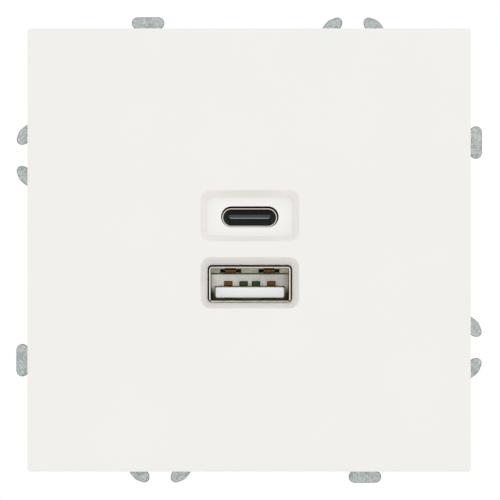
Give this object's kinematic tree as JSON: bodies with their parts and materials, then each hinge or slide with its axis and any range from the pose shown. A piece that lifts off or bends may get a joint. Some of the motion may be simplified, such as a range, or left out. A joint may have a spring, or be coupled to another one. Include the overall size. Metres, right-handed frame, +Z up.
{
  "type": "usb wall socket",
  "caption": "Flush-mounted USB charging socket: square centre plate with two funnel windows, a steel support frame with interlocking tabs, spreader claws and a power supply can.",
  "frame": {"origin": "centre of the pair of box-screw slots, on the back face of the steel frame, which lies on the wall", "axes": "+Y from the room into the wall, at right angles to the plate; +Z up the wall; +X to the right as seen from the room"},
  "size_m": [0.0742, 0.038, 0.0742],
  "materials": {
    "white_plastic": "satin moulded",
    "housing_plastic": "fine matt texture",
    "zinc_steel": "galvanised",
    "bright_steel": "tinned",
    "screw_steel": "zinc plated",
    "white_insulator": "moulded",
    "black_insulator": "moulded",
    "contact_metal": "plated",
    "board": "glass fibre laminate with solder mask",
    "chip": "moulded",
    "ferrite": "fired",
    "bobbin": "moulded",
    "winding": "yellow film tape",
    "capacitor_sleeve": "shrink sleeve",
    "film_case": "moulded",
    "ceramic": "dipped",
    "fuse_case": "moulded"
  },
  "bodies": {
    "root": {"centre_plate": "white_plastic", "front_housing": "white_plastic", "support_frame": "zinc_steel", "rear_housing": "housing_plastic", "terminal_cover": "housing_plastic", "housing_screws": "screw_steel", "usb_a_shell": "bright_steel", "usb_a_insulator": "white_insulator", "usb_a_contacts": "contact_metal", "usb_c_shell": "bright_steel", "usb_c_insulator": "black_insulator", "usb_c_contacts": "contact_metal", "usb_board": "board", "main_board": "board", "usb_controller": "chip", "board_header": "bobbin", "header_pins": "contact_metal", "transformer_core": "ferrite", "transformer_bobbin": "bobbin", "transformer_winding": "winding", "input_capacitor": "capacitor_sleeve", "output_capacitor": "capacitor_sleeve", "line_filter_capacitor": "film_case", "line_choke": "bobbin", "fuse": "fuse_case", "bridge_rectifier": "chip", "optocoupler": "chip", "safety_capacitor": "ceramic", "terminal_contacts": "contact_metal"},
    "claw_left": {"claw_left": "zinc_steel"},
    "claw_right": {"claw_right": "zinc_steel"},
    "claw_screw_left": {"claw_screw_left": "screw_steel"},
    "claw_screw_right": {"claw_screw_right": "screw_steel"},
    "terminal_cage_live": {"terminal_cage_live": "screw_steel"},
    "terminal_cage_neutral": {"terminal_cage_neutral": "screw_steel"},
    "terminal_screw_live": {"terminal_screw_live": "screw_steel"},
    "terminal_screw_neutral": {"terminal_screw_neutral": "screw_steel"}
  },
  "joints": [
    {"name": "claw_left_swing", "type": "hinge", "parent": "root", "child": "claw_left", "pos_m": [-0.0234, 0.0034, 0], "axis": [0, 0, 1], "range_deg": [0, 20]},
    {"name": "claw_screw_left_turn", "type": "hinge", "parent": "root", "child": "claw_screw_left", "pos_m": [-0.0264, 0, 0], "axis": [0, 1, 0], "range_deg": [0, 740]},
    {"name": "claw_right_swing", "type": "hinge", "parent": "root", "child": "claw_right", "pos_m": [0.0234, 0.0034, 0], "axis": [0, 0, -1], "range_deg": [0, 20]},
    {"name": "claw_screw_right_turn", "type": "hinge", "parent": "root", "child": "claw_screw_right", "pos_m": [0.0264, 0, 0], "axis": [0, 1, 0], "range_deg": [0, 740]},
    {"name": "terminal_cage_live_rise", "type": "slide", "parent": "root", "child": "terminal_cage_live", "axis": [0, 1, 0], "range_m": [0, 0.0028]},
    {"name": "terminal_screw_live_turn", "type": "hinge", "parent": "root", "child": "terminal_screw_live", "pos_m": [-0.0065, 0.023, -0.0199], "axis": [0, -1, 0], "range_deg": [0, 2017]},
    {"name": "terminal_cage_neutral_rise", "type": "slide", "parent": "root", "child": "terminal_cage_neutral", "axis": [0, 1, 0], "range_m": [0, 0.0028]},
    {"name": "terminal_screw_neutral_turn", "type": "hinge", "parent": "root", "child": "terminal_screw_neutral", "pos_m": [0.0065, 0.023, -0.0199], "axis": [0, -1, 0], "range_deg": [0, 2017]}
  ],
  "couplings": [
    {"joint": "claw_screw_left_turn", "follows": "claw_left_swing", "ratio": 37},
    {"joint": "claw_screw_right_turn", "follows": "claw_right_swing", "ratio": 37},
    {"joint": "terminal_screw_live_turn", "follows": "terminal_cage_live_rise", "rad_per_m": 12566},
    {"joint": "terminal_screw_neutral_turn", "follows": "terminal_cage_neutral_rise", "rad_per_m": 12566}
  ]
}
